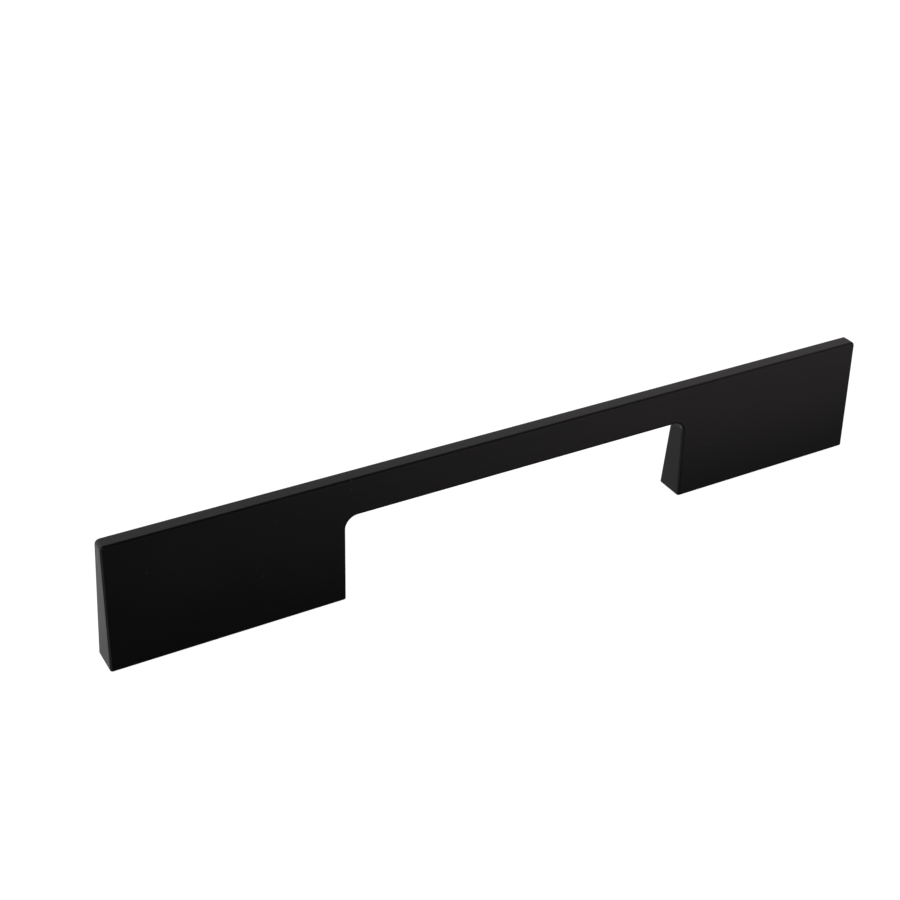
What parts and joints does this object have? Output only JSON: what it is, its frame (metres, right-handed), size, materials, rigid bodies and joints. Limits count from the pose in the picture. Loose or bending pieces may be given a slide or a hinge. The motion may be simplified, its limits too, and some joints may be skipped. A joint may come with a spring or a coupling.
{
  "type": "cabinet handle",
  "caption": "One-piece matt black bridge handle: slim grip bar on wide flat feet, wedge section, finger opening between the feet, tapped screw holes in the foot undersides.",
  "frame": {"origin": "midway between the two screw holes, on the plane where the feet meet the door or drawer front", "axes": "+X along the grip, +Y through the thickness to the back, +Z away from the door towards the outer edge of the grip"},
  "size_m": [0.22, 0.0082, 0.033],
  "materials": {
    "matt_black_coating": "matt black powder coating on a metal casting, fine even texture"
  },
  "bodies": {
    "root": {"handle_body": "matt_black_coating"}
  },
  "joints": []
}
